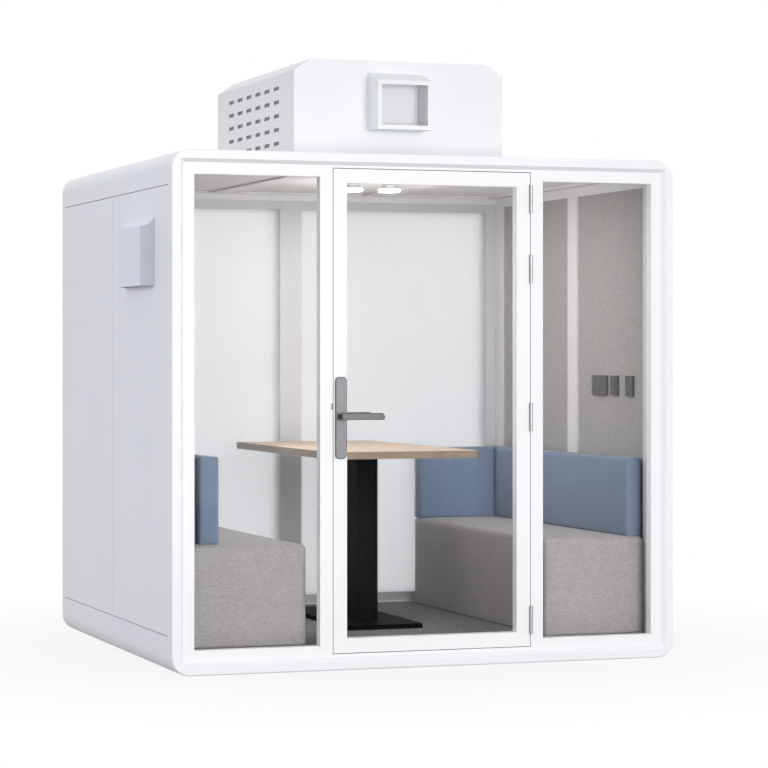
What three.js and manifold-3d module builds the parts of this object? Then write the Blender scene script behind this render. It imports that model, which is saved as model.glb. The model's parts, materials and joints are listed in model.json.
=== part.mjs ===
// Acoustic office pod: a white rounded shell with a glazed front, a hinged glass door,
// upholstered benches, a pedestal table and a ventilation unit on the roof.
// Millimetres, +Z up. The front faces -Y and the origin is the middle of the underside.
import * as THREE from 'three';
import { mergeVertices } from 'three/addons/utils/BufferGeometryUtils.js';
import Module from 'manifold-3d';

const wasm = await Module();
wasm.setup();

// Shell
const podWidth = 2200;
const podDepth = 2000;
const podHeight = 2110;
const cornerRadius = 73;
const skinThickness = 20;
const upperSeamDrop = 140;
const lowerSeamRise = 156;
const seamGap = 3;
const fitGap = 0.3;
const runningGap = 0.1;

// Front and rear rims
const rimDepth = 60;
const rimFace = 36;
const rimBevel = 14;
const rimRecess = 17;
const rimEdgeRound = 6;

// Wall build-up, from the skin inwards
const coreThickness = 24.7;
const coreCorner = 14;
const feltThickness = 9.4;
const trimThickness = 8;
const feltTopDrop = 76;
const corniceDepth = 42;
const rearCorniceDepth = 28;
const wallTrimFrontWidth = 48;
const wallTrimFrontSetback = 124;
const wallTrimMiddleWidth = 108;
const wallTrimMiddleOffset = -58;
const wallTrimRearWidth = 98;
const ceilingTrimWidth = 104;
const ceilingTrimOffset = 377;
const ceilingTrimEdge = 60;

// Floor
const deckThickness = 59.7;
const carpetThickness = 10.7;

// Front wall
const frameDepth = 45;
const sideStile = 46.7;
const headRail = 47.7;
const sillRail = 49.7;
const mullionWidth = 54.5;
const glassThickness = 10;
const glassSetback = 5;
const doorHead = 10.7;
const thresholdHeight = 14.7;
const stopThickness = 12.6;
const stopSideWidth = 24;
const stopSideLap = 3;
const stopEndLap = 16;

// Door
const doorWidth = 865.5;
const doorOffset = 16.75;
const doorGap = 3;
const lockStile = 58.1;
const hingeStile = 61;
const doorTopRail = 59;
const doorBottomRail = 60;

// Hinges
const hingeRadius = 7;
const hingePinRadius = 3;
const hingeHeight = 117;
const hingeLeafDepth = 36;
const hingeLeafThickness = 0.8;
const hingeStandOff = 1;
const topHingeDrop = 109.5;
const secondHingeDrop = 401.5;
const thirdHingeRise = 958.5;
const bottomHingeRise = 110.5;

// Lever handle, lock case and latch
const handleFromEdge = 30.5;
const handleRise = 967;
const handlePlateWidth = 49;
const handlePlateHeight = 335;
const handlePlateThickness = 10;
const handlePlateBevel = 3;
const handlePlateCorner = 14;
const handlePlateDrop = 6.5;
const leverLength = 172;
const leverHeight = 28;
const leverThickness = 12;
const leverTipSlant = 9;
const leverFingerGap = 41;
const leverHub = 12;
const leverEdge = 2.5;
const leverNeck = 17;
const leverCollarRadius = 8;
const spindleWidth = 8;
const spindleBore = 8;
const lockCaseDepth = 43;
const lockCaseThickness = 20;
const lockCaseBelow = 85;
const lockCaseAbove = 75;
const latchRise = 40;
const latchHeight = 16;
const latchThickness = 12;
const latchLength = 39.5;
const latchThrow = 8.5;
const latchClearance = 0.6;
const strikeGap = 3;

// Rear wall
const rearFrameDepth = 83;
const rearSideStile = 59.7;
const rearMiddleStile = 54;
const rearJointOffset = -12;
const rearHeadRail = 81.7;
const rearSillRail = 86.7;
const rearGlassSetback = 8;

// Roof unit
const unitWidth = 942;
const unitDepth = 1176;
const unitHeight = 425;
const unitOffset = 10;
const unitSheet = 4;
const unitChamferRun = 75;
const unitChamferDrop = 50;
const slotLength = 78;
const slotHeight = 16;
const slotColumns = 6;
const slotRows = 5;
const slotColumnPitch = 139;
const slotRowPitch = 59;
const slotBottomRise = 82;
const slotFieldOffset = 15;

// Outlet cowl and fan
const cowlWidth = 242;
const cowlBackHeight = 246;
const cowlFrontHeight = 207;
const cowlReach = 130;
const cowlWall = 18;
const cowlRise = 126;
const cowlOffset = -21;
const baffleThickness = 4;
const baffleSideGap = 36;
const baffleBottomGap = 8;
const fanRadius = 95;
const fanTipGap = 5;
const fanFrameMargin = 15;
const fanFrameDepth = 40;
const fanSetback = 60;
const fanHubRadius = 33;
const fanHubGap = 2;
const fanBlades = 5;
const fanBladeThickness = 3;
const fanBladePitch = THREE.MathUtils.degToRad(35);
const fanBladeChord = 34;
const fanMotorRadius = 36;
const fanMotorLength = 50;
const fanShaftRadius = 4;
const fanStruts = 3;
const fanStrutWidth = 12;
const fanStrutDepth = 8;
const fanFootWidth = 120;
const extractSlots = 7;
const extractSlotLength = 180;
const extractSlotWidth = 12;
const extractSlotPitch = 26;
const extractRadius = 100;

// Side ventilation hood and inlet
const hoodLength = 498;
const hoodOuterLength = 373;
const hoodReach = 45;
const hoodHeight = 286;
const hoodOuterHeight = 244;
const hoodSheet = 3;
const hoodFromFront = 274;
const hoodFromTop = 540;
const inletSlots = 11;
const inletSlotWidth = 12;
const inletSlotPitch = 26;
const inletHeight = 120;
const inletRise = 50;

// Lights and wall plates
const lightRadius = 50;
const lightHeight = 18;
const lightEdge = 8;
const lightNeckRadius = 34;
const lightDrop = 36;
const lightPlaces = [-20, 157];
const lightFromCentre = -40;
const plateHeight = 88;
const plateProud = 10;
const plateRise = 1059;
const socketPlateWidth = 160;
const singlePlateWidth = 78;
const socketPlateFromFront = 635;
const switchPlateFromFront = 476;
const controlPlateFromFront = 315;
const plateCorner = 6;
const rockerWidth = 44;
const rockerHeight = 64;
const rockerThickness = 7;
const rockerProud = 3;
const rockerClearance = 1;
const rockerTravelDepth = 4;
const rockerPinRadius = 2;
const rockerPinReach = 3;

// Benches and cushions
const benchHeight = 413.7;
const leftBenchDepth = 547.5;
const rightBenchDepth = 463;
const benchFromFront = 150;
const benchRearGap = 110;
const benchWallGap = 2;
const benchRound = 25;
const bolsterThickness = 118;
const bolsterSetback = 150;
const leftCushionThickness = 84;
const leftCushionHeight = 363;
const leftCushionSetback = 110;
const cushionSpacing = 3;
const rightCushionThickness = 73;
const rightCushionHeight = 338;
const rightCushionSetback = 28;
const rearCushionThickness = 94;
const cushionRound = 20;

// Table
const tableWidth = 672;
const tableLength = 1436;
const tableThickness = 31;
const tableTopRise = 783;
const tableOffset = 31;
const tableRearGap = 80;
const tableCorner = 8;
const columnWidth = 95;
const columnLength = 438;
const columnRound = 12;
const columnSheet = 5;
const bracketWidth = 160;
const bracketLength = 520;
const bracketThickness = 6;
const tableBaseWidth = 346;
const tableBaseLength = 910;
const tableBaseThickness = 21.2;
const tableBaseCorner = 10;

// Working planes taken from the sizes above
const frontY = -podDepth / 2;
const rearY = podDepth / 2;
const sideX = podWidth / 2;
const frameInset = rimFace + rimBevel + fitGap;
const frontFaceY = frontY + rimRecess;
const frontBackY = frontFaceY + frameDepth;
const liningFrontY = frontBackY + fitGap + stopThickness + fitGap;
const rearInnerY = rearY - rimRecess - rearFrameDepth;
const liningRearY = rearInnerY - fitGap;
const shellSpan = [frontY + rimDepth + fitGap, rearY - rimDepth - fitGap];
const liningSpan = [liningFrontY, liningRearY];
const coreInset = skinThickness + fitGap;
const coreX = sideX - coreInset - coreThickness;
const coreZ = podHeight - coreInset - coreThickness;
const feltX = coreX - fitGap - feltThickness;
const feltZ = coreZ - fitGap - feltThickness;
const trimX = feltX - fitGap - trimThickness;
const trimZ = feltZ - fitGap - trimThickness;
const upperSeamZ = podHeight - upperSeamDrop;
const deckTopZ = coreInset + deckThickness;
const carpetZ = deckTopZ + fitGap + carpetThickness;
const doorLeft = doorOffset - doorWidth / 2;
const doorRight = doorOffset + doorWidth / 2;
const doorBottom = frameInset + thresholdHeight + doorGap;
const doorTop = podHeight - frameInset - doorHead - doorGap;
const handleX = doorLeft + handleFromEdge;
const handleZ = doorBottom + handleRise;
const doorMidY = frontFaceY + frameDepth / 2;
const unitBaseZ = podHeight + fitGap;
const benchTopZ = carpetZ + fitGap + benchHeight;
const hoodZ = podHeight - hoodFromTop;
const roundSegments = 4;
const turnSides = 24;
const weldTolerance = 1e-4;
const far = 2 * (podWidth + podDepth + podHeight);

// Finishes
const finish = (color, roughness, metalness = 0) =>
  new THREE.MeshStandardMaterial({ color, roughness, metalness });
const glazing = (color, roughness, opacity) =>
  new THREE.MeshStandardMaterial({ color, roughness, transparent: true, opacity });
const whitePaint = finish(0xf2f2f5, 0.45);
const mineralCore = finish(0x8d8a80, 1);
const felt = finish(0x9e9995, 0.95);
const aluminium = finish(0xc3c0c3, 0.35, 0.8);
const clearGlass = glazing(0xe6eef0, 0.05, 0.2);
const frostedGlass = glazing(0xe4e6e9, 0.6, 0.9);
const plywood = finish(0xb89b74, 0.8);
const carpetPile = finish(0x5c5b5e, 1);
const satinSteel = finish(0x9b989d, 0.35, 0.9);
const darkPlastic = finish(0x5b595b, 0.5);
const blackPlastic = finish(0x2a2a2c, 0.5);
const blackSteel = finish(0x141414, 0.5, 0.3);
const oak = finish(0xc9b296, 0.55);
const greyWeave = finish(0x8c8884, 0.95);
const blueWeave = finish(0x6a7d99, 0.95);
const opal = finish(0xffffff, 0.4);

// Shapes and solids
function solidOf(geometry) {
  const bare = geometry.clone();
  bare.deleteAttribute('normal');
  bare.deleteAttribute('uv');
  const welded = mergeVertices(bare, weldTolerance);
  return new wasm.Manifold(new wasm.Mesh({
    numProp: 3,
    vertProperties: new Float32Array(welded.attributes.position.array),
    triVerts: new Uint32Array(welded.index.array),
  }));
}

function geometryOf(solid) {
  const mesh = solid.getMesh();
  const geometry = new THREE.BufferGeometry();
  geometry.setAttribute('position', new THREE.BufferAttribute(mesh.vertProperties, 3));
  geometry.setIndex(new THREE.BufferAttribute(mesh.triVerts, 1));
  geometry.computeVertexNormals();
  return geometry;
}

const cut = (body, ...tools) =>
  geometryOf(tools.reduce((left, tool) => left.subtract(solidOf(tool)), solidOf(body)));
const join = (body, ...others) =>
  geometryOf(others.reduce((whole, other) => whole.add(solidOf(other)), solidOf(body)));
const shared = (body, other) => geometryOf(solidOf(body).intersect(solidOf(other)));

// A box between three pairs of limits.
function block([x0, x1], [y0, y1], [z0, z1]) {
  const box = new THREE.BoxGeometry(x1 - x0, y1 - y0, z1 - z0);
  return box.translate((x0 + x1) / 2, (y0 + y1) / 2, (z0 + z1) / 2);
}

function roundedRect([u0, u1], [v0, v1], radius) {
  const shape = new THREE.Shape();
  shape.moveTo(u0 + radius, v0);
  shape.lineTo(u1 - radius, v0);
  shape.absarc(u1 - radius, v0 + radius, radius, -Math.PI / 2, 0);
  shape.lineTo(u1, v1 - radius);
  shape.absarc(u1 - radius, v1 - radius, radius, 0, Math.PI / 2);
  shape.lineTo(u0 + radius, v1);
  shape.absarc(u0 + radius, v1 - radius, radius, Math.PI / 2, Math.PI);
  shape.lineTo(u0, v0 + radius);
  shape.absarc(u0 + radius, v0 + radius, radius, Math.PI, Math.PI * 1.5);
  return shape;
}

const polygon = (points) => new THREE.Shape(points.map(([u, v]) => new THREE.Vector2(u, v)));

function extrusion(shape, depth, bevel = {}) {
  return new THREE.ExtrudeGeometry(shape, {
    depth, bevelEnabled: false, curveSegments: roundSegments, ...bevel });
}

const bevelled = (thickness, size, segments) => ({
  bevelEnabled: true, bevelThickness: thickness, bevelSize: size, bevelSegments: segments });

// An (x, z) outline extruded between two depths.
function plate(shape, [y0, y1], bevel = {}) {
  return extrusion(shape, y1 - y0, bevel).rotateX(Math.PI / 2).translate(0, y1, 0);
}

// A (y, z) outline extruded between two widths.
function bar(shape, [x0, x1]) {
  const axes = new THREE.Matrix4().makeBasis(
    new THREE.Vector3(0, 1, 0), new THREE.Vector3(0, 0, 1), new THREE.Vector3(1, 0, 0));
  return extrusion(shape, x1 - x0).applyMatrix4(axes).translate(x0, 0, 0);
}

// An (x, y) outline extruded between two heights.
const slab = (shape, [z0, z1]) => extrusion(shape, z1 - z0).translate(0, 0, z0);

// A block with every edge rounded.
function softBlock([x0, x1], [y0, y1], [z0, z1], radius) {
  const outline = roundedRect([x0 + radius, x1 - radius], [y0 + radius, y1 - radius], radius / 2);
  const body = extrusion(outline, z1 - z0 - 2 * radius,
    { ...bevelled(radius, radius, 3), curveSegments: 2 });
  return body.translate(0, 0, z0 + radius);
}

// Round bars along Z and Y, running between two limits.
function postZ(radius, [z0, z1], x = 0, y = 0) {
  const post = new THREE.CylinderGeometry(radius, radius, z1 - z0, turnSides);
  return post.rotateX(Math.PI / 2).translate(x, y, (z0 + z1) / 2);
}

function postY(radius, [y0, y1], x = 0, z = 0) {
  const post = new THREE.CylinderGeometry(radius, radius, y1 - y0, turnSides);
  return post.translate(x, (y0 + y1) / 2, z);
}

// The pod's rounded outline and its square end openings, seen from the front, drawn in by an inset.
const podOutline = (inset) => roundedRect(
  [-sideX + inset, sideX - inset], [inset, podHeight - inset], cornerRadius - inset);
const endOutline = (inset) => polygon([[-sideX + inset, inset], [sideX - inset, inset],
  [sideX - inset, podHeight - inset], [-sideX + inset, podHeight - inset]]);

const mirrored = ([low, high]) => [-high, -low];
const shrunk = ([low, high], by) => [low + by, high - by];
const around = (middle, width) => [middle - width / 2, middle + width / 2];
const endless = [-far, far];
const pod = new THREE.Group();

function piece(name, geometry, material, group = pod) {
  const mesh = new THREE.Mesh(geometry, material);
  mesh.name = name;
  group.add(mesh);
  return mesh;
}

function subgroup(x, y, z, parent = pod) {
  const group = new THREE.Group();
  group.position.set(x, y, z);
  parent.add(group);
  return group;
}

// Front and rear rims: bevelled picture-frame rings around the shell's two ends.
function rimRing() {
  const holeInset = rimFace + rimBevel;
  const inside = frontY + rimDepth;
  const whole = plate(podOutline(rimEdgeRound), [frontY + rimEdgeRound, inside + rimDepth],
    bevelled(rimEdgeRound, rimEdgeRound, 3));
  const behind = block(endless, [inside, far], endless);
  const hole = plate(endOutline(holeInset), endless);
  const mouth = plate(endOutline(holeInset), [frontY - rimDepth, frontY],
    bevelled(rimRecess, rimBevel, 1));
  return cut(whole, behind, hole, mouth);
}

function buildRims() {
  piece('front_rim', rimRing(), whitePaint);
  piece('rear_rim', rimRing(), whitePaint).rotation.z = Math.PI;
}

// Skins: a roof tray and a base tray with the rounded corners, and four flat side panels.
function buildSkins(extract, inlet) {
  const outline = podOutline(0);
  outline.holes.push(podOutline(skinThickness));
  const tube = plate(outline, shellSpan);
  const roofTray = shared(tube, block(endless, endless, [upperSeamZ + seamGap / 2, far]));
  const baseTray = shared(tube, block(endless, endless, [-far, lowerSeamRise - seamGap / 2]));
  piece('roof_shell', cut(roofTray, extract), whitePaint);
  piece('base_shell', baseTray, whitePaint);
  const heights = [lowerSeamRise + seamGap / 2, upperSeamZ - seamGap / 2];
  const right = [sideX - skinThickness, sideX];
  const front = [shellSpan[0], -seamGap / 2];
  const rear = [seamGap / 2, shellSpan[1]];
  piece('left_front_panel', cut(block(mirrored(right), front, heights), inlet), whitePaint);
  piece('left_rear_panel', block(mirrored(right), rear, heights), whitePaint);
  piece('right_front_panel', block(right, front, heights), whitePaint);
  piece('right_rear_panel', block(right, rear, heights), whitePaint);
}

// Sound insulation inside the skins: one arch over the cabin.
function buildCore(extract, inlet) {
  const whole = plate(podOutline(coreInset), shellSpan);
  const cabin = plate(roundedRect([-coreX, coreX], [-podHeight, coreZ], coreCorner), endless);
  const below = block(endless, endless, [-far, deckTopZ + fitGap]);
  piece('insulation_core', cut(whole, cabin, below, extract, inlet), mineralCore);
}

// Felt linings, slotted where air passes, with aluminium frames over their joints.
function buildLining(extractGrille, inletGrille) {
  const sideFelt = [feltX, feltX + feltThickness];
  const feltHeights = [deckTopZ + fitGap, podHeight - feltTopDrop];
  piece('left_felt', cut(block(mirrored(sideFelt), liningSpan, feltHeights), ...inletGrille), felt);
  piece('right_felt', block(sideFelt, liningSpan, feltHeights), felt);
  const ceilingHalf = coreX - coreCorner - fitGap;
  const ceiling = block([-ceilingHalf, ceilingHalf], liningSpan, [feltZ, feltZ + feltThickness]);
  piece('ceiling_felt', cut(ceiling, ...extractGrille), felt);
  const sideTrim = [trimX, trimX + trimThickness];
  piece('left_wall_frame', wallFrame(mirrored(sideTrim)), aluminium);
  piece('right_wall_frame', wallFrame(sideTrim), aluminium);
  buildCeilingFrame();
}

// A cornice along the top of the wall and three uprights under it.
function wallFrame(thickness) {
  const heights = [deckTopZ + fitGap, trimZ - fitGap];
  const cornice = block(thickness, liningSpan, [heights[1] - corniceDepth, heights[1]]);
  const frontStrip = [frontY + wallTrimFrontSetback, frontY + wallTrimFrontSetback + wallTrimFrontWidth];
  const rearStrip = [liningRearY - wallTrimRearWidth, liningRearY];
  const strips = [frontStrip, around(wallTrimMiddleOffset, wallTrimMiddleWidth), rearStrip];
  return join(cornice, ...strips.map((run) => block(thickness, run, heights)));
}

// Flat bars under the ceiling felt, with a cornice down the rear wall.
function buildCeilingFrame() {
  const half = trimX - fitGap;
  const frame = block([-half, half], liningSpan, [trimZ, trimZ + trimThickness]);
  const cornice = block([-half, half], [liningRearY - trimThickness, liningRearY],
    [trimZ - rearCorniceDepth, trimZ + trimThickness]);
  const openRun = shrunk(liningSpan, ceilingTrimEdge);
  const inner = ceilingTrimOffset - ceilingTrimWidth / 2;
  const outer = [ceilingTrimOffset + ceilingTrimWidth / 2, half - ceilingTrimEdge];
  const bays = [mirrored(outer), [-inner, inner], outer];
  const open = bays.map((bay) => block(bay, openRun, endless));
  piece('ceiling_frame', join(cut(frame, ...open), cornice), aluminium);
}

// Floor: a deck that follows the base tray's rounded corners, and a carpet on it.
function buildFloor() {
  const deck = shared(plate(podOutline(coreInset), liningSpan), block(endless, endless, [-far, deckTopZ]));
  piece('floor_deck', deck, plywood);
  const half = trimX - fitGap;
  piece('carpet', block([-half, half], liningSpan, [deckTopZ + fitGap, carpetZ]), carpetPile);
}

// Front wall: two fixed frames with their panes, either side of the door.
function buildFrontWall() {
  const whole = plate(endOutline(frameInset), [frontFaceY, frontBackY]);
  const paneHeights = [frameInset + sillRail, podHeight - frameInset - headRail];
  const leftEdge = doorLeft - doorGap;
  const rightEdge = doorRight + doorGap;
  const leftPane = [-sideX + frameInset + sideStile, leftEdge - mullionWidth];
  const rightPane = [rightEdge + mullionWidth, sideX - frameInset - sideStile];
  const strike = block([leftEdge - latchThrow, rightEdge],
    [-far, doorMidY + latchThickness / 2 + strikeGap],
    around(handleZ + latchRise, latchHeight + 2 * strikeGap));
  const leftHalf = cut(whole, block([leftEdge, far], endless, endless));
  const rightHalf = cut(whole, block([-far, rightEdge], endless, endless));
  piece('left_fixed_frame', cut(leftHalf, block(leftPane, endless, paneHeights), strike), whitePaint);
  piece('right_fixed_frame', cut(rightHalf, block(rightPane, endless, paneHeights)), whitePaint);
  const paneDepth = [frontFaceY + glassSetback, frontFaceY + glassSetback + glassThickness];
  const paneZ = shrunk(paneHeights, fitGap);
  piece('left_glass', block(shrunk(leftPane, fitGap), paneDepth, paneZ), clearGlass);
  piece('right_glass', block(shrunk(rightPane, fitGap), paneDepth, paneZ), clearGlass);
  buildDoorSurround(shrunk([leftEdge, rightEdge], fitGap));
}

// Threshold, head and the stop that the door closes against, welded together.
function buildDoorSurround(between) {
  const stopDepth = [frontBackY + fitGap, frontBackY + fitGap + stopThickness];
  const barDepth = [frontFaceY, stopDepth[1]];
  const low = frameInset;
  const high = podHeight - frameInset;
  const threshold = block(between, barDepth, [low, low + thresholdHeight]);
  const head = block(between, barDepth, [high - doorHead, high]);
  const outside = [doorLeft - stopSideWidth, doorRight + stopSideWidth];
  const clear = block([doorLeft + stopSideLap, doorRight - stopSideLap], endless,
    [doorBottom + stopEndLap, doorTop - stopEndLap]);
  const stop = cut(block(outside, stopDepth, [low, high]), clear);
  piece('door_surround', join(stop, threshold, head), whitePaint);
}

// Rear wall: two frames that meet off centre, each with a satin pane.
function buildRearWall() {
  const whole = plate(endOutline(frameInset), [rearInnerY, rearInnerY + rearFrameDepth]);
  const heights = [frameInset + rearSillRail, podHeight - frameInset - rearHeadRail];
  const outer = sideX - frameInset - rearSideStile;
  const glassDepth = [rearInnerY + rearGlassSetback, rearInnerY + rearGlassSetback + glassThickness];
  const halves = {
    left: { away: [rearJointOffset - fitGap, far], pane: [-outer, rearJointOffset - rearMiddleStile] },
    right: { away: [-far, rearJointOffset], pane: [rearJointOffset + rearMiddleStile, outer] },
  };
  for (const [side, { away, pane }] of Object.entries(halves)) {
    const frame = cut(whole, block(away, endless, endless), block(pane, endless, heights));
    piece(`rear_${side}_frame`, frame, aluminium);
    piece(`rear_${side}_glass`, block(shrunk(pane, fitGap), glassDepth, shrunk(heights, fitGap)),
      frostedGlass);
  }
}

// Door leaf with its pane, lock case, handle plates, lever set and latch bolt.
function buildDoor() {
  const pane = [doorLeft + lockStile, doorRight - hingeStile];
  const paneHeights = [doorBottom + doorBottomRail, doorTop - doorTopRail];
  const caseX = [doorLeft + fitGap, doorLeft + lockCaseDepth];
  const caseY = around(doorMidY, lockCaseThickness);
  const caseZ = [handleZ - lockCaseBelow, handleZ + lockCaseAbove];
  const spindleHole = postY(spindleBore, endless, handleX, handleZ);
  const pocket = block([doorLeft - doorGap, caseX[1] + fitGap], shrunk(caseY, -fitGap),
    shrunk(caseZ, -fitGap));
  const leaf = cut(block([doorLeft, doorRight], [frontFaceY, frontBackY], [doorBottom, doorTop]),
    block(pane, endless, paneHeights), pocket, spindleHole);
  piece('door_leaf', leaf, whitePaint);
  const paneDepth = [frontFaceY + glassSetback, frontFaceY + glassSetback + glassThickness];
  piece('door_glass', block(shrunk(pane, fitGap), paneDepth, shrunk(paneHeights, fitGap)), clearGlass);
  const boltX = [doorLeft - latchThrow, doorLeft - latchThrow + latchLength];
  const boltY = around(doorMidY, latchThickness);
  const boltZ = around(handleZ + latchRise, latchHeight);
  const channel = block([doorLeft - doorGap, boltX[1] + latchThrow + latchClearance],
    shrunk(boltY, -latchClearance), shrunk(boltZ, -latchClearance));
  piece('lock_case', cut(block(caseX, caseY, caseZ), channel, spindleHole), satinSteel);
  piece('latch_bolt', block(boltX, boltY, boltZ), satinSteel);
  const lockset = subgroup(handleX, doorMidY, handleZ);
  buildHandlePlates(lockset);
  piece('lever_handle', leverSet(), satinSteel, lockset);
}

// Long plates with rounded corners on both faces of the door, bored for the lever's collar.
function buildHandlePlates(lockset) {
  const half = handlePlateWidth / 2 - handlePlateBevel;
  const tall = handlePlateHeight / 2 - handlePlateBevel;
  const outline = roundedRect([-half, half], [-tall - handlePlateDrop, tall - handlePlateDrop],
    handlePlateCorner);
  const edge = bevelled(handlePlateBevel, handlePlateBevel, 1);
  const near = frameDepth / 2 + fitGap;
  const depth = shrunk([near, near + handlePlateThickness], handlePlateBevel);
  const bore = postY(leverCollarRadius + fitGap, endless);
  piece('outer_handle_plate', cut(plate(outline, mirrored(depth), edge), bore), satinSteel, lockset);
  piece('inner_handle_plate', cut(plate(outline, depth, edge), bore), satinSteel, lockset);
}

// Two levers on one square spindle, which turn as one.
function leverSet() {
  const plateNear = frameDepth / 2 + fitGap;
  const plateFar = plateNear + handlePlateThickness;
  const barNear = plateFar + leverFingerGap;
  const half = leverHeight / 2 - leverEdge;
  const tip = leverLength - leverEdge;
  const heel = leverEdge - leverHub;
  const outline = polygon([[heel, -half], [tip - leverEdge, -half], [tip, 0], [tip - leverTipSlant, half],
    [heel, half]]);
  const edge = bevelled(leverEdge, leverEdge, 2);
  const grip = shrunk([barNear, barNear + leverThickness], leverEdge);
  const collar = [plateNear, plateFar + 2 * fitGap];
  const neck = [plateFar + fitGap, barNear + leverEdge];
  const square = around(0, leverNeck);
  const spindle = block(around(0, spindleWidth), around(0, 2 * plateFar), around(0, spindleWidth));
  return join(spindle,
    postY(leverCollarRadius, mirrored(collar)), postY(leverCollarRadius, collar),
    block(square, mirrored(neck), square), block(square, neck, square),
    plate(outline, mirrored(grip), edge), plate(outline, grip, edge));
}

// Four butt hinges: the lower knuckle carries the pin and stays on the frame.
function buildHinges() {
  const axisX = doorRight + doorGap / 2;
  const axisY = frontFaceY - hingeRadius - hingeStandOff;
  const middles = [doorTop - topHingeDrop, doorTop - secondHingeDrop,
    doorBottom + thirdHingeRise, doorBottom + bottomHingeRise];
  const half = hingeHeight / 2;
  const leafX = [doorGap / 2 - fitGap - hingeLeafThickness, doorGap / 2 - fitGap];
  const leafY = [(hingeRadius + hingePinRadius) / 2, hingeLeafDepth];
  const lower = [0, half - fitGap];
  const upper = [half + fitGap, hingeHeight];
  const pin = postZ(hingePinRadius, [lower[1] - hingePinRadius, hingeHeight]);
  const bore = postZ(hingePinRadius + runningGap, endless);
  middles.forEach((middle, index) => {
    const hinge = subgroup(axisX, axisY, middle - half);
    const fixed = join(postZ(hingeRadius, lower), block(leafX, leafY, lower), pin);
    const moving = cut(join(postZ(hingeRadius, upper), block(mirrored(leafX), leafY, upper)), bore);
    piece(`hinge_${index + 1}_frame_leaf`, fixed, satinSteel, hinge);
    piece(`hinge_${index + 1}_door_leaf`, moving, satinSteel, hinge);
  });
}

// Roof unit: a folded casing with chamfered shoulders and slotted sides, open underneath.
function buildRoofUnit() {
  const unit = subgroup(unitOffset, 0, unitBaseZ);
  const profile = (inset, bottom) => {
    const half = unitWidth / 2 - inset;
    const top = unitHeight - inset;
    const shoulder = unitHeight - unitChamferDrop - inset / 2;
    const flat = unitWidth / 2 - unitChamferRun - inset / 2;
    return polygon([[-half, bottom], [half, bottom], [half, shoulder], [flat, top], [-flat, top],
      [-half, shoulder]]);
  };
  const depth = around(0, unitDepth);
  const outer = plate(profile(0, 0), depth);
  const hollow = plate(profile(unitSheet, -unitSheet), shrunk(depth, unitSheet));
  const slots = [];
  for (let column = 0; column < slotColumns; column += 1) {
    const y = slotFieldOffset + (column - (slotColumns - 1) / 2) * slotColumnPitch;
    for (let row = 0; row < slotRows; row += 1) {
      const z = slotBottomRise + row * slotRowPitch;
      slots.push(block(endless, around(y, slotLength), around(z, slotHeight)));
    }
  }
  const outletX = around(cowlOffset, cowlWidth - 2 * cowlWall);
  const outletZ = [cowlRise + cowlWall, cowlRise + cowlFrontHeight - cowlWall];
  const outlet = block(outletX, [-unitDepth, depth[0] + 2 * unitSheet], outletZ);
  piece('roof_unit_casing', cut(outer, hollow, ...slots, outlet), whitePaint, unit);
  const front = subgroup(cowlOffset, depth[0], 0, unit);
  buildOutlet(front);
  buildFan(front, (outletZ[0] + outletZ[1]) / 2);
}

// Outlet cowl with a sloping top. A baffle closes its back but for a gap at one side and below.
function buildOutlet(front) {
  const sides = around(0, cowlWidth);
  const inner = shrunk(sides, cowlWall);
  const slope = (cowlBackHeight - cowlFrontHeight) / cowlReach;
  const profile = (inset, spare) => polygon([
    [spare - fitGap, cowlRise + inset],
    [spare - fitGap, cowlRise + cowlBackHeight - inset + spare * slope],
    [-cowlReach - spare, cowlRise + cowlFrontHeight - inset - spare * slope],
    [-cowlReach - spare, cowlRise + inset]]);
  const hood = cut(bar(profile(0, 0), sides), bar(profile(cowlWall, cowlWall), inner));
  const baffle = block([inner[0] + baffleSideGap, inner[1] + cowlWall / 2],
    [-fitGap - baffleThickness, -fitGap],
    [cowlRise + cowlWall + baffleBottomGap, cowlRise + cowlBackHeight - cowlWall / 2]);
  piece('outlet_cowl', join(hood, baffle), whitePaint, front);
}

// Exhaust fan on a foot behind the outlet: the impeller turns on the motor's shaft.
function buildFan(front, axisZ) {
  const fan = subgroup(0, fanSetback, axisZ, front);
  const ring = fanRadius + fanTipGap;
  const depth = [0, fanFrameDepth];
  const square = around(0, 2 * (ring + fanFrameMargin));
  const foot = block(around(0, fanFootWidth), depth, [fitGap - axisZ, -ring]);
  const surround = cut(join(block(square, depth, square), foot), postY(ring, endless));
  const motorNear = fanFrameDepth + fanHubGap;
  const motor = postY(fanMotorRadius, [motorNear, motorNear + fanMotorLength]);
  const shaft = postY(fanShaftRadius, [fanHubGap, motorNear + fanHubGap]);
  const strutX = around(0, fanStrutWidth);
  const strutY = [motorNear, motorNear + fanStrutDepth];
  const shoeZ = [ring + fanTipGap / 2, ring + fanFrameMargin / 2];
  const struts = [];
  for (let index = 0; index < fanStruts; index += 1) {
    const turn = (2 * Math.PI * index) / fanStruts;
    struts.push(block(strutX, strutY, [0, shoeZ[1]]).rotateY(turn));
    struts.push(block(strutX, [fanFrameDepth / 2, strutY[1]], shoeZ).rotateY(turn));
  }
  piece('fan_frame', join(surround, motor, shaft, ...struts), blackPlastic, fan);
  const hubDepth = shrunk(depth, fanHubGap);
  const bladeSpan = fanRadius - fanHubRadius + 2 * fanHubGap;
  const blades = [];
  for (let index = 0; index < fanBlades; index += 1) {
    const blade = new THREE.BoxGeometry(fanBladeChord, fanBladeThickness, bladeSpan);
    blade.rotateZ(fanBladePitch).translate(0, fanFrameDepth / 2, fanRadius - bladeSpan / 2);
    blades.push(blade.rotateY((2 * Math.PI * index) / fanBlades));
  }
  const wheel = shared(join(postY(fanHubRadius, hubDepth), ...blades), postY(fanRadius, hubDepth));
  piece('fan_impeller', cut(wheel, postY(fanShaftRadius + runningGap, endless)), blackPlastic, fan);
}

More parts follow.
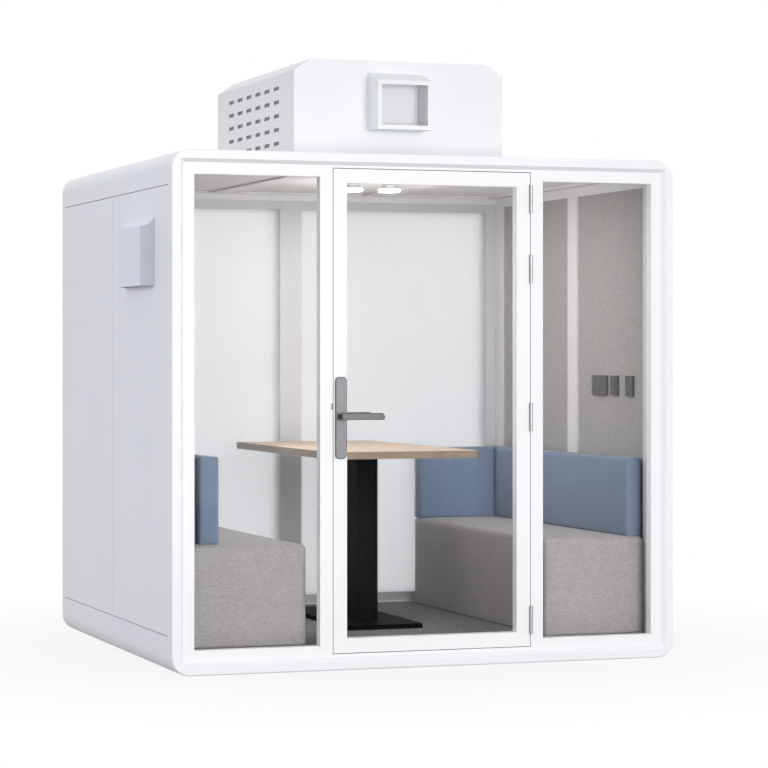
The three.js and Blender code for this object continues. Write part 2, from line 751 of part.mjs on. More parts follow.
// Hood over the side inlet: splayed ends and a scooped top, open at the wall and underneath.
function buildHood() {
  const hood = subgroup(-sideX - fitGap, frontY + hoodFromFront + hoodLength / 2, hoodZ);
  const form = (inset, spare) => {
    const reach = hoodReach - inset;
    const half = hoodLength / 2 - inset;
    const outerHalf = hoodOuterLength / 2 - inset;
    const top = hoodHeight - inset;
    const outerTop = hoodOuterHeight - inset;
    const plan = polygon([[spare, -half], [spare, half], [0, half], [-reach, outerHalf],
      [-reach, -outerHalf], [0, -half]]);
    const side = new THREE.Shape();
    side.moveTo(spare, -spare);
    side.lineTo(spare, top);
    side.lineTo(0, top);
    side.quadraticCurveTo(-reach / 4, outerTop, -reach, outerTop);
    side.lineTo(-reach, -spare);
    return shared(slab(plan, [-spare, hoodHeight]), plate(side, around(0, 2 * hoodLength)));
  };
  piece('vent_hood', cut(form(0, 0), form(hoodSheet, hoodSheet)), whitePaint, hood);
}

// Ceiling lights: a round lens with a soft edge under a narrower neck, fixed to the felt.
function buildLights() {
  const outline = new THREE.Shape().absarc(0, 0, lightRadius - lightEdge, 0, 2 * Math.PI);
  const edge = { ...bevelled(lightEdge, lightEdge, 3), curveSegments: turnSides };
  const neck = [lightHeight - 2 * lightEdge, lightDrop - lightEdge + feltZ - trimZ - fitGap];
  lightPlaces.forEach((x, index) => {
    const lens = extrusion(outline, lightHeight - 2 * lightEdge, edge);
    const light = piece(`ceiling_light_${index + 1}`, join(lens, postZ(lightNeckRadius, neck)), opal);
    light.position.set(x, lightFromCentre, trimZ - lightDrop + lightEdge);
  });
}

// Wall plates on the right-hand lining: sockets, a rocker switch and a control plate.
function buildWallPlates() {
  const back = -fitGap;
  const front = back - plateProud;
  const tall = around(0, plateHeight);
  const face = (width) => bar(roundedRect(around(0, width), tall, plateCorner), [front, back]);
  const place = (fromFront) => subgroup(feltX, frontY + fromFront, carpetZ + plateRise);
  piece('socket_plate', face(socketPlateWidth), darkPlastic, place(socketPlateFromFront));
  piece('control_plate', face(singlePlateWidth), darkPlastic, place(controlPlateFromFront));
  const switchGroup = place(switchPlateFromFront);
  const rockerX = [front - rockerProud, front - rockerProud + rockerThickness];
  const rockerY = around(0, rockerWidth);
  const rockerZ = around(0, rockerHeight);
  const pinX = rockerX[1] - rockerPinRadius;
  const pinY = shrunk(rockerY, -rockerClearance - rockerPinReach);
  const window = block([-far, rockerX[1] + rockerTravelDepth], shrunk(rockerY, -rockerClearance),
    shrunk(rockerZ, -rockerClearance));
  const pinBore = postY(rockerPinRadius + runningGap, shrunk(pinY, -fitGap), pinX);
  piece('switch_plate', cut(face(singlePlateWidth), window, pinBore), darkPlastic, switchGroup);
  const rocker = join(block(rockerX, rockerY, rockerZ), postY(rockerPinRadius, pinY, pinX));
  piece('switch_rocker', rocker, darkPlastic, switchGroup);
}

// Upholstered benches along both side walls, with loose back cushions.
function buildSeating() {
  const run = [frontY + benchFromFront, rearInnerY - benchRearGap];
  const heights = [carpetZ + fitGap, benchTopZ];
  const wall = trimX - benchWallGap;
  const leftSeat = [-wall, -wall + leftBenchDepth];
  const rightSeat = [wall - rightBenchDepth, wall];
  piece('left_bench', softBlock(leftSeat, run, heights, benchRound), greyWeave);
  piece('right_bench', softBlock(rightSeat, run, heights, benchRound), greyWeave);
  const above = (height) => [benchTopZ + fitGap, benchTopZ + fitGap + height];
  const bolster = [-wall, -wall + bolsterThickness];
  const leftBack = [bolster[1] + cushionSpacing, bolster[1] + cushionSpacing + leftCushionThickness];
  const rightBack = [wall - rightCushionThickness, wall];
  const rearBack = [rightSeat[0], rightBack[0] - cushionSpacing];
  const from = (setback) => [run[0] + setback, run[1]];
  const rearRun = [run[1] - rearCushionThickness, run[1]];
  const cushions = {
    left_bolster: [bolster, from(bolsterSetback), above(leftCushionHeight)],
    left_cushion: [leftBack, from(leftCushionSetback), above(leftCushionHeight)],
    right_cushion: [rightBack, from(rightCushionSetback), above(rightCushionHeight)],
    rear_cushion: [rearBack, rearRun, above(rightCushionHeight)],
  };
  for (const [name, limits] of Object.entries(cushions)) {
    piece(name, softBlock(...limits, cushionRound), blueWeave);
  }
}

// Table: an oak top on a welded frame of a base plate, one deep sheet column that is open to the rear,
// and a top bracket.
function buildTable() {
  const rear = rearInnerY - tableRearGap;
  const table = subgroup(tableOffset, rear - tableLength / 2, carpetZ + fitGap);
  const flat = (width, length, corner) => roundedRect(around(0, width), around(0, length), corner);
  const underside = tableTopRise - tableThickness;
  piece('table_top', slab(flat(tableWidth, tableLength, tableCorner), [underside, tableTopRise]), oak, table);
  const base = slab(flat(tableBaseWidth, tableBaseLength, tableBaseCorner), [0, tableBaseThickness]);
  const post = slab(flat(columnWidth, columnLength, columnRound),
    [tableBaseThickness / 2, underside - fitGap - bracketThickness / 2]);
  const inside = block(around(0, columnWidth - 2 * columnSheet), [columnSheet - columnLength / 2, far],
    [tableBaseThickness, underside - fitGap - bracketThickness]);
  const bracket = slab(flat(bracketWidth, bracketLength, columnRound),
    [underside - fitGap - bracketThickness, underside - fitGap]);
  piece('table_frame', join(base, cut(post, inside), bracket), blackSteel, table);
}

// Air ways: a round duct up to the roof unit and a square one out to the side hood.
const extractX = unitOffset + cowlOffset;
const extractDuct = postZ(extractRadius, [feltZ + feltThickness, far], extractX);
const rowOf = (count, pitch) => Array.from({ length: count }, (_, index) => (index - (count - 1) / 2) * pitch);
const extractGrille = rowOf(extractSlots, extractSlotPitch).map((offset) =>
  block(around(extractX, extractSlotLength), around(offset, extractSlotWidth), endless));
const inletY = frontY + hoodFromFront + hoodLength / 2;
const inletZ = [hoodZ + inletRise, hoodZ + inletRise + inletHeight];
const inletDuct = block([-far, -feltX], around(inletY, inletSlots * inletSlotPitch), inletZ);
const inletGrille = rowOf(inletSlots, inletSlotPitch).map((offset) =>
  block(endless, around(inletY + offset, inletSlotWidth), inletZ));

buildRims();
buildSkins(extractDuct, inletDuct);
buildCore(extractDuct, inletDuct);
buildLining(extractGrille, inletGrille);
buildFloor();
buildFrontWall();
buildRearWall();
buildDoor();
buildHinges();
buildRoofUnit();
buildHood();
buildLights();
buildWallPlates();
buildSeating();
buildTable();

export default pod;
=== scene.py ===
"""Looks of an acoustic office pod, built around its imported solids. Metres, +Z up, front towards -Y."""
import json
import math

import bmesh
import bpy
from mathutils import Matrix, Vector


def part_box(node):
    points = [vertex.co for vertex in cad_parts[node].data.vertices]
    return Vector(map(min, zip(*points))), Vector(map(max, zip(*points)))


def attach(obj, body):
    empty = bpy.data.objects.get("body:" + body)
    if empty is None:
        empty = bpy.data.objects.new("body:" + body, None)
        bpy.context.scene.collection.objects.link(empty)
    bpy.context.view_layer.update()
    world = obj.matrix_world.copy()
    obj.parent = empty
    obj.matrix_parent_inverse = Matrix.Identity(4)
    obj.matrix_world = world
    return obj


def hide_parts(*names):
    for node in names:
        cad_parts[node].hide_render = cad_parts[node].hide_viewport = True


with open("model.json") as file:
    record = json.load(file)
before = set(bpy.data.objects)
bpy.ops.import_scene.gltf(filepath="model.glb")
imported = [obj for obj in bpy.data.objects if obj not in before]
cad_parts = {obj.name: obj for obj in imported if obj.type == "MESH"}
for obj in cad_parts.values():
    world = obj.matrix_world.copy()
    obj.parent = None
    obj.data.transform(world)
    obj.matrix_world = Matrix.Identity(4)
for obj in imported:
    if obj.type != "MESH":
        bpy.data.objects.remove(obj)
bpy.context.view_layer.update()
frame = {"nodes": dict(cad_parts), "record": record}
nodes = frame["nodes"]


scene = bpy.context.scene
scene.view_settings.view_transform = "Standard"

# Camera at the photograph's viewpoint
CAMERA_PLACE = (-3.8984, -11.5711, 1.29435)
CAMERA_TURN = (math.radians(90), 0.0, math.radians(-19.264))
CAMERA_LENS = 128.11
CAMERA_SENSOR = 36.0
CAMERA_REACH = 200.0
CAMERA_SHIFT_Y = -0.04066

# Ceiling lights: height of the lit part of the lens, and the height over which it fades out
LIT_HEIGHT = 0.018
LIT_FADE = 0.003

# Soft pieces: gap at a wall, reach kept clear around neighbours, pressure and steps of the cloth, smoothing
REST_GAP = 0.0015
NEIGHBOUR_REACH = 0.003
CLOTH_PRESSURE = 4.0
CLOTH_STEPS = 20
SMOOTH_SHARE = 0.5
SMOOTH_ROUNDS = 2
BENCH = {"slot": "grey_weave", "radius": 0.014, "swell": 0.006, "voxel": 0.012, "fill": 0.95}
CUSHION = {"slot": "blue_weave", "radius": 0.01, "swell": 0.005, "voxel": 0.008, "fill": 0.85}

# Trim: radius of its edges, then where the filter mats and the floor strip sit in what carries them
TRIM_EDGE = 0.001
MAT_SETBACK = 0.0055
MAT_THICKNESS = 0.006
MAT_FOOT = 0.02
MAT_TOP = 0.062
MAT_END = 0.03
STRIP_END = 0.002
STRIP_FRONT = 0.014
STRIP_REAR = 0.0005
STRIP_FOOT = 0.0002
STRIP_TOP = 0.0045

# Linear colours
WHITE = (1.0, 1.0, 1.0)
WHITE_PANEL = (0.86, 0.86, 0.88)
WHITE_FRAME = (0.88, 0.88, 0.89)
WHITE_SHEET = (0.78, 0.785, 0.805)
# A bluish grey copy of the panel white: painted shade for the side, top and bottom shells
SIDE_PAINTED_SHADE_WHITE = (0.845, 0.85, 0.9)
HOOD_WHITE = (0.79, 0.8, 0.9)
# Painted shade for the hood's faces that face front and back
HOOD_PAINTED_SHADE = (0.57, 0.58, 0.6)
MAT_GREY = (0.26, 0.26, 0.268)

# Painted shade by facing: part of a normal along an axis from which a surface starts to face that way, and
# at which it fully does
FACING_START = 0.3
FACING_FULL = 0.7

# Floor: half its side, its depth under the object, its finish, and where its shadow fades into white
FLOOR_HALF = 40.0
FLOOR_DEPTH = 0.002
FLOOR_GREY = (0.25, 0.25, 0.255, 1.0)
FLOOR_ROUGHNESS = 0.9
FLOOR_FADE = (("From Min", 1.2), ("From Max", 2.8), ("To Min", 0.9), ("To Max", 1.0))

# Light: the world, then lamps by name, place, aim, size, power and colour
WORLD_COLOR = (0.96, 0.975, 1.0, 1.0)
WORLD_STRENGTH = 0.6
SIDE_LIGHT = (0.95, 0.96, 1.0)
CABIN_LIGHT = (1.0, 0.99, 0.985)
STUDIO_LAMPS = (
    ("key", (0.4, -10.0, 1.75), (0.0, 0.0, 1.1), 3.2, 480.0, WHITE),
    ("top_fill", (0.0, 0.5, 8.0), (0.0, 0.0, 2.0), 5.0, 70.0, WHITE),
    ("left_fill", (-9.0, -1.0, 3.0), (-1.0, 0.0, 1.0), 5.0, 204.0, SIDE_LIGHT),
    ("right_fill", (9.0, -1.0, 3.0), (1.0, 0.0, 1.0), 5.0, 150.0, SIDE_LIGHT),
)
HIDDEN_LAMPS = (
    ("rear_fill", (2.0, 9.0, 3.0), (0.0, 1.0, 1.0), 5.0, 190.0, WHITE),
    ("cabin_down", (0.05, -0.04, 1.97), (0.05, -0.04, 0.0), 1.5, 6.0, CABIN_LIGHT),
    ("cabin_side", (-0.65, 0.0, 1.35), (1.0, -0.65, 0.85), 0.5, 4.6, CABIN_LIGHT),
    ("cabin_low", (-0.22, -0.3, 0.5), (0.35, 0.95, 0.12), 0.3, 1.5, CABIN_LIGHT),
    ("cabin_front", (0.0, -0.9, 1.52), (0.1, 0.9, 1.45), 0.8, 5.0, CABIN_LIGHT),
)
GLOW_DROP = 0.25
GLOW_RADIUS = 0.04
GLOW_POWER = 2.6


def add_camera():
    """The camera of the photograph."""
    data = bpy.data.cameras.new("camera")
    data.lens = CAMERA_LENS
    data.sensor_width = CAMERA_SENSOR
    data.shift_y = CAMERA_SHIFT_Y
    data.clip_end = CAMERA_REACH
    camera = bpy.data.objects.new("camera", data)
    camera.location = CAMERA_PLACE
    camera.rotation_euler = CAMERA_TURN
    scene.collection.objects.link(camera)
    scene.camera = camera


class Paint:
    """A procedural material: a principled shader and the textures that vary it."""

    def __init__(self, name, color, roughness, **sockets):
        self.material = bpy.data.materials.new(name)
        self.material.use_nodes = True
        self.tree = self.material.node_tree
        self.shader = self.tree.nodes["Principled BSDF"]
        self.shader.inputs["Base Color"].default_value = (*color, 1.0)
        self.shader.inputs["Roughness"].default_value = roughness
        for socket, value in sockets.items():
            self.shader.inputs[socket.replace("_", " ")].default_value = value
        self.place = self.tree.nodes.new("ShaderNodeTexCoord").outputs["Object"]
        self.normal = None

    def node(self, kind, **values):
        made = self.tree.nodes.new(kind)
        for key, value in values.items():
            setattr(made, key, value)
        return made

    def link(self, source, target):
        self.tree.links.new(source, target)

    def stretched(self, scale):
        """Object coordinates scaled per axis, for grain and brushing."""
        mapping = self.node("ShaderNodeMapping")
        mapping.inputs["Scale"].default_value = scale
        self.link(self.place, mapping.inputs["Vector"])
        return mapping.outputs["Vector"]

    def noise(self, scale, detail=3.0, vector=None, distortion=0.0):
        """Cloudy noise over the object, or over given coordinates."""
        made = self.node("ShaderNodeTexNoise")
        made.inputs["Scale"].default_value = scale
        made.inputs["Detail"].default_value = detail
        made.inputs["Distortion"].default_value = distortion
        self.link(vector or self.place, made.inputs["Vector"])
        return made.outputs["Fac"]

    def ramp(self, source, low, high, start=0.35, end=0.65):
        """Two colours blended by a texture."""
        made = self.node("ShaderNodeValToRGB")
        first, last = made.color_ramp.elements
        first.position, last.position = start, end
        first.color, last.color = (*low, 1.0), (*high, 1.0)
        self.link(source, made.inputs["Fac"])
        return made.outputs["Color"]

    def product(self, first, second):
        """Two colours multiplied."""
        made = self.node("ShaderNodeMix", data_type="RGBA", blend_type="MULTIPLY")
        made.inputs["Factor"].default_value = 1.0
        self.link(first, made.inputs["A"])
        self.link(second, made.inputs["B"])
        return made.outputs["Result"]

    def shade_by_facing(self, axis, shade_tint):
        """White, and painted shade as a tint where the surface faces along one axis."""
        split = self.node("ShaderNodeSeparateXYZ")
        self.link(self.node("ShaderNodeNewGeometry").outputs["Normal"], split.inputs["Vector"])
        size = self.node("ShaderNodeMath", operation="ABSOLUTE")
        self.link(split.outputs[axis], size.inputs[0])
        return self.ramp(size.outputs["Value"], WHITE, shade_tint, FACING_START, FACING_FULL)

    def color(self, source):
        self.link(source, self.shader.inputs["Base Color"])

    def rough(self, source, low, high):
        """Roughness between two values, varied by a texture."""
        made = self.node("ShaderNodeMapRange")
        made.inputs["To Min"].default_value = low
        made.inputs["To Max"].default_value = high
        self.link(source, made.inputs["Value"])
        self.link(made.outputs["Result"], self.shader.inputs["Roughness"])

    def bump(self, source, strength, distance):
        """Fine relief from a texture, on top of any relief before it."""
        made = self.node("ShaderNodeBump")
        made.inputs["Strength"].default_value = strength
        made.inputs["Distance"].default_value = distance
        self.link(source, made.inputs["Height"])
        if self.normal:
            self.link(self.normal, made.inputs["Normal"])
        self.normal = made.outputs["Normal"]
        self.link(self.normal, self.shader.inputs["Normal"])

    def weave(self, pitch):
        """A basket of crossing threads that reads the same on every face of a box."""
        sines = []
        split = self.node("ShaderNodeSeparateXYZ")
        self.link(self.place, split.inputs["Vector"])
        for axis in "XYZ":
            turn = self.node("ShaderNodeMath", operation="MULTIPLY")
            turn.inputs[1].default_value = 2 * math.pi / pitch
            self.link(split.outputs[axis], turn.inputs[0])
            sine = self.node("ShaderNodeMath", operation="SINE")
            self.link(turn.outputs[0], sine.inputs[0])
            sines.append(sine.outputs[0])
        total = None
        for first, second in ((0, 1), (1, 2), (2, 0)):
            cross = self.node("ShaderNodeMath", operation="MULTIPLY")
            self.link(sines[first], cross.inputs[0])
            self.link(sines[second], cross.inputs[1])
            if total is None:
                total = cross.outputs[0]
                continue
            whole = self.node("ShaderNodeMath", operation="ADD")
            self.link(total, whole.inputs[0])
            self.link(cross.outputs[0], whole.inputs[1])
            total = whole.outputs[0]
        return total


def shade(color, factor):
    """A colour made darker or lighter."""
    return tuple(channel * factor for channel in color)


def lacquer(name, color, facing_shade=None):
    """Satin white lacquer with a faint orange peel and uneven gloss, and painted shade on faces that face
    along Y if given.
    """
    paint = Paint(name, color, 0.42)
    coat = paint.ramp(paint.noise(1.3), shade(color, 0.975), color)
    # Painted shade: faces that face along Y are darkened by the given tint
    if facing_shade:
        coat = paint.product(coat, paint.shade_by_facing("Y", facing_shade))
    paint.color(coat)
    paint.rough(paint.noise(5.0), 0.36, 0.5)
    paint.bump(paint.noise(320.0, 2.0), 0.03, 0.001)
    return paint.material


def felt_cloth(name, color):
    """Pressed felt with mixed fibres."""
    paint = Paint(name, color, 0.95, Sheen_Weight=0.15, Sheen_Roughness=0.5)
    fibres = paint.noise(420.0, 6.0)
    linen = paint.ramp(paint.noise(80.0, 5.0), (0.86, 0.86, 0.86), WHITE)
    paint.color(paint.product(paint.ramp(fibres, shade(color, 0.86), shade(color, 1.16)), linen))
    paint.bump(fibres, 0.35, 0.002)
    return paint.material


def anodised(name, color):
    """Satin aluminium, brushed along the uprights."""
    paint = Paint(name, color, 0.55, Metallic=0.08)
    lines = paint.noise(900.0, 2.0, paint.stretched((1.0, 1.0, 0.02)))
    paint.color(paint.ramp(lines, shade(color, 0.95), shade(color, 1.05)))
    paint.rough(lines, 0.5, 0.65)
    paint.bump(lines, 0.05, 0.0005)
    return paint.material


def steel(name, color):
    """Satin steel with fine upright brushing."""
    paint = Paint(name, color, 0.38, Metallic=0.85)
    lines = paint.noise(700.0, 2.0, paint.stretched((1.0, 1.0, 0.03)))
    paint.color(paint.ramp(lines, shade(color, 0.85), shade(color, 1.1)))
    paint.rough(lines, 0.3, 0.45)
    paint.bump(lines, 0.05, 0.0005)
    return paint.material


def clear_glass():
    """Coated clear panes: a faint gloss, a slight tint and faint smears."""
    paint = Paint("clear_glass", (0.9, 0.93, 0.93), 0.0, Transmission_Weight=1.0, IOR=1.01, Alpha=0.2,
                  Coat_Weight=0.1, Coat_Roughness=0.02)
    paint.color(paint.ramp(paint.noise(2.5, 5.0), (0.87, 0.905, 0.905), (0.92, 0.95, 0.95)))
    return paint.material


def frosted_glass():
    """Satin panes that let the daylight behind glow through."""
    paint = Paint("frosted_glass", (0.86, 0.862, 0.88), 1.0, Transmission_Weight=0.76, IOR=1.2)
    paint.color(paint.ramp(paint.noise(0.9, 2.0), (0.84, 0.842, 0.86), (0.88, 0.882, 0.9)))
    paint.bump(paint.noise(800.0, 3.0), 0.08, 0.0005)
    return paint.material


def carpet():
    """Dark loop pile."""
    paint = Paint("carpet", (0.11, 0.11, 0.115), 1.0, Sheen_Weight=0.1)
    loops = paint.noise(100.0, 5.0)
    patches = paint.ramp(paint.noise(6.0, 3.0), (0.85, 0.85, 0.85), WHITE)
    pile = paint.ramp(loops, (0.052, 0.052, 0.055), (0.255, 0.25, 0.255), 0.38, 0.62)
    paint.color(paint.product(pile, patches))
    paint.bump(loops, 0.6, 0.004)
    return paint.material


def moulded(name, color, roughness, **sockets):
    """Moulded plastic or powder coat with a fine grain."""
    paint = Paint(name, color, roughness, **sockets)
    paint.color(paint.ramp(paint.noise(40.0, 4.0), shade(color, 0.88), shade(color, 1.08)))
    paint.rough(paint.noise(25.0), roughness - 0.07, roughness + 0.07)
    paint.bump(paint.noise(900.0, 2.0), 0.12, 0.0006)
    return paint.material


def oak():
    """Light oak with its grain along the table; painted shade on its edges facing X, and its end grain
    facing Y darker, partly as end grain and partly as painted shade.
    """
    paint = Paint("oak", (0.58, 0.45, 0.32), 0.45)
    # Painted shade: bluish grey on faces along X, warm dark on the end grain along Y, partly real end grain
    edges = paint.product(paint.shade_by_facing("X", (0.5, 0.54, 0.6)), paint.shade_by_facing("Y", (0.39, 0.36, 0.335)))
    grain = paint.noise(1.0, 6.0, paint.stretched((26.0, 1.4, 26.0)), 0.6)
    pores = paint.ramp(paint.noise(1.0, 3.0, paint.stretched((420.0, 14.0, 420.0))),
                       (0.86, 0.84, 0.82), WHITE, 0.3, 0.5)
    wood = paint.product(paint.ramp(grain, (0.475, 0.36, 0.255), (0.585, 0.468, 0.358), 0.3, 0.7), pores)
    paint.color(paint.product(wood, edges))
    paint.rough(grain, 0.38, 0.52)
    paint.bump(pores, 0.1, 0.0006)
    return paint.material


def upholstery(name, color, contrast, pitch):
    """A heathered weave: level slubs, crossing threads and a soft sheen."""
    paint = Paint(name, color, 0.95, Sheen_Weight=0.2, Sheen_Roughness=0.5)
    slubs = paint.noise(1.0, 4.0, paint.stretched((70.0, 70.0, 260.0)))
    threads = paint.ramp(paint.noise(240.0, 4.0), shade(WHITE, 1.0 - contrast), WHITE)
    clouds = paint.ramp(paint.noise(9.0, 4.0), shade(WHITE, 1.0 - contrast / 3.0), WHITE)
    streaks = paint.ramp(slubs, shade(color, 1.0 - contrast), shade(color, 1.0 + contrast), 0.3, 0.7)
    paint.color(paint.product(paint.product(streaks, threads), clouds))
    paint.bump(slubs, 0.2, 0.0015)
    paint.bump(paint.weave(pitch), 0.25, 0.0012)
    return paint.material


def opal(rim):
    """Lit diffuser below a plain rim at the given height."""
    paint = Paint("opal", (0.8, 0.79, 0.78), 0.4, Emission_Strength=2.2)
    split = paint.node("ShaderNodeSeparateXYZ")
    paint.link(paint.place, split.inputs["Vector"])
    level = paint.node("ShaderNodeMapRange")
    level.inputs["From Min"].default_value = rim - LIT_FADE
    level.inputs["From Max"].default_value = rim
    paint.link(split.outputs["Z"], level.inputs["Value"])
    glow = paint.ramp(level.outputs["Result"], (1.0, 0.98, 0.94), (0.0, 0.0, 0.0), 0.0, 1.0)
    paint.link(glow, paint.shader.inputs["Emission Color"])
    paint.color(paint.ramp(paint.noise(60.0), (0.6, 0.59, 0.585), (0.66, 0.65, 0.645)))
    return paint.material


def plywood():
    """Board with its layers showing on the edges."""
    paint = Paint("plywood", (0.48, 0.35, 0.2), 0.75)
    layers = paint.noise(1.0, 4.0, paint.stretched((1.5, 1.5, 300.0)))
    paint.color(paint.ramp(layers, (0.4, 0.28, 0.15), (0.55, 0.42, 0.26)))
    paint.bump(layers, 0.2, 0.001)
    return paint.material


def mineral_wool():
    """Loose pale fibres."""
    paint = Paint("mineral_wool", (0.5, 0.49, 0.45), 1.0)
    fibres = paint.noise(200.0, 6.0)
    paint.color(paint.ramp(fibres, (0.4, 0.39, 0.35), (0.56, 0.55, 0.5)))
    paint.bump(fibres, 0.5, 0.004)
    return paint.material


MATERIALS = {
    "white_panel": lacquer("white_panel", WHITE_PANEL),
    "white_frame": lacquer("white_frame", WHITE_FRAME),
    "white_sheet": lacquer("white_sheet", WHITE_SHEET),
    "insulation": mineral_wool(),
    "felt": felt_cloth("felt", (0.36, 0.344, 0.338)),
    "aluminium": anodised("aluminium", (0.51, 0.503, 0.518)),
    "clear_glass": clear_glass(),
    "frosted_glass": frosted_glass(),
    "plywood": plywood(),
    "carpet": carpet(),
    "satin_steel": steel("satin_steel", (0.34, 0.335, 0.35)),
    "dark_plastic": moulded("dark_plastic", (0.1, 0.098, 0.1), 0.5),
    "black_plastic": moulded("black_plastic", (0.02, 0.02, 0.022), 0.5),
    "black_steel": moulded("black_steel", (0.006, 0.006, 0.0064), 0.55, Specular_IOR_Level=0.02),
    "oak": oak(),
    "grey_weave": upholstery("grey_weave", (0.405, 0.38, 0.37), 0.13, 0.005),
    "blue_weave": upholstery("blue_weave", (0.18, 0.236, 0.333), 0.08, 0.004),
    "opal": opal(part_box("ceiling_light_1")[0].z + LIT_HEIGHT),
}

# Nodes whose shade differs from that of their slot
PLATE_STEEL = steel("plate_steel", (0.115, 0.112, 0.118))
DARK_STEEL = steel("dark_steel", (0.085, 0.084, 0.088))
LINING_METAL = anodised("lining_metal", (0.66, 0.65, 0.66))
CEILING_FELT = felt_cloth("ceiling_felt", (0.64, 0.617, 0.613))
# The shell's white with a painted bluish shade, for its sides, top and bottom
SIDE_PAINTED_SHADE_LACQUER = lacquer("side_white_painted_shade", SIDE_PAINTED_SHADE_WHITE)
OWN_LOOKS = {
    "roof_shell": SIDE_PAINTED_SHADE_LACQUER,
    "base_shell": SIDE_PAINTED_SHADE_LACQUER,
    "left_front_panel": SIDE_PAINTED_SHADE_LACQUER,
    "left_rear_panel": SIDE_PAINTED_SHADE_LACQUER,
    "right_front_panel": SIDE_PAINTED_SHADE_LACQUER,
    "right_rear_panel": SIDE_PAINTED_SHADE_LACQUER,
    "vent_hood": lacquer("hood_white", HOOD_WHITE, HOOD_PAINTED_SHADE),
    "latch_bolt": LINING_METAL,
    "ceiling_felt": CEILING_FELT,
    "ceiling_frame": LINING_METAL,
    "left_wall_frame": LINING_METAL,
    "right_wall_frame": LINING_METAL,
    "outer_handle_plate": PLATE_STEEL,
    "inner_handle_plate": PLATE_STEEL,
    "lever_handle": DARK_STEEL,
}


def dress_nodes():
    """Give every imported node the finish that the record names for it, or its own shade of it."""
    for part in frame["record"]["subparts"]:
        data = nodes[part["node"]].data
        data.materials.clear()
        data.materials.append(OWN_LOOKS.get(part["node"], MATERIALS[part["material_slot"]]))


def new_object(name, mesh):
    made = bpy.data.objects.new(name, mesh)
    scene.collection.objects.link(made)
    return made


def apply_modifier(target, name):
    bpy.context.view_layer.objects.active = target
    with bpy.context.temp_override(object=target, active_object=target, selected_objects=[target]):
        bpy.ops.object.modifier_apply(modifier=name)


def rounded_block(name, low, high, radius, segments=3):
    """A closed block with rounded edges between two corners."""
    mesh = bpy.data.meshes.new(name)
    form = bmesh.new()
    bmesh.ops.create_cube(form, size=1.0)
    size = high - low
    middle = (high + low) / 2
    for vertex in form.verts:
        vertex.co = Vector(c * s + m for c, s, m in zip(vertex.co, size, middle))
    bmesh.ops.bevel(form, geom=form.edges[:], offset=radius, segments=segments, affect="EDGES", profile=0.5)
    form.to_mesh(mesh)
    form.free()
    return new_object(name, mesh)


def inflate(piece, swell, voxel):
    """Swell a pad under its cover with a cloth simulation."""
    remesh = piece.modifiers.new("remesh", "REMESH")
    remesh.mode = "VOXEL"
    remesh.voxel_size = voxel
    apply_modifier(piece, remesh.name)
    start = [vertex.co.copy() for vertex in piece.data.vertices]
    cloth = piece.modifiers.new("cloth", "CLOTH")
    cloth.settings.use_pressure = True
    cloth.settings.uniform_pressure_force = CLOTH_PRESSURE
    cloth.settings.effector_weights.gravity = 0.0
    cloth.point_cache.frame_start = 1
    cloth.point_cache.frame_end = CLOTH_STEPS
    for step in range(1, CLOTH_STEPS + 1):
        scene.frame_set(step)
    apply_modifier(piece, cloth.name)
    scene.frame_set(1)
    moves = [vertex.co - before for vertex, before in zip(piece.data.vertices, start)]
    share = min(1.0, swell / max(move.length for move in moves))
    for vertex, before, move in zip(piece.data.vertices, start, moves):
        vertex.co = before + move * share


def within(place, low, high):
    """The place, moved into a box where it is outside."""
    return Vector(min(max(value, least), most) for value, least, most in zip(place, low, high))


def soft_piece(node, rests, neighbours, slot, radius, swell, voxel, fill):
    """A padded piece that stands for a plain soft solid: full where it is free, flat where it rests."""
    low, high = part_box(node)
    piece = rounded_block(node + "_pad", low - Vector((0.0, 0.0, radius)), high, radius)
    inflate(piece, swell, voxel)
    smooth = piece.modifiers.new("smooth", "SMOOTH")
    smooth.factor = SMOOTH_SHARE
    smooth.iterations = SMOOTH_ROUNDS
    apply_modifier(piece, smooth.name)
    lowest = low - Vector((REST_GAP if "-x" in rests else swell, swell, 0.0))
    highest = high + Vector((REST_GAP if "+x" in rests else swell, swell, swell))
    reach = Vector((NEIGHBOUR_REACH, NEIGHBOUR_REACH, NEIGHBOUR_REACH))
    taken = [(start - reach, end + reach) for start, end in map(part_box, neighbours)]
    for vertex in piece.data.vertices:
        vertex.co = within(vertex.co, lowest, highest)
        if any(within(vertex.co, *box) == vertex.co for box in taken):
            vertex.co = within(vertex.co, low, high)
    for face in piece.data.polygons:
        face.use_smooth = True
    piece.data.materials.append(MATERIALS[slot])
    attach(piece, "pod")
    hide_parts(node)


def seating():
    """Benches and cushions, each with the wall it rests on and the cushions that touch it."""
    left_backs = ("left_bolster", "left_cushion")
    right_backs = ("right_cushion", "rear_cushion")
    soft_piece("left_bench", "-x", left_backs, **BENCH)
    soft_piece("right_bench", "+x", right_backs, **BENCH)
    soft_piece("left_cushion", "-x", ("left_bolster",), **CUSHION)
    soft_piece("left_bolster", "-x", ("left_cushion",), **CUSHION)
    soft_piece("right_cushion", "+x", ("rear_cushion",), **CUSHION)
    soft_piece("rear_cushion", "", ("right_cushion",), **CUSHION)


def slab_piece(name, low, high, look):
    """A small rigid trim with eased edges."""
    piece = rounded_block(name, Vector(low), Vector(high), TRIM_EDGE, 2)
    piece.data.materials.append(look)
    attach(piece, "pod")


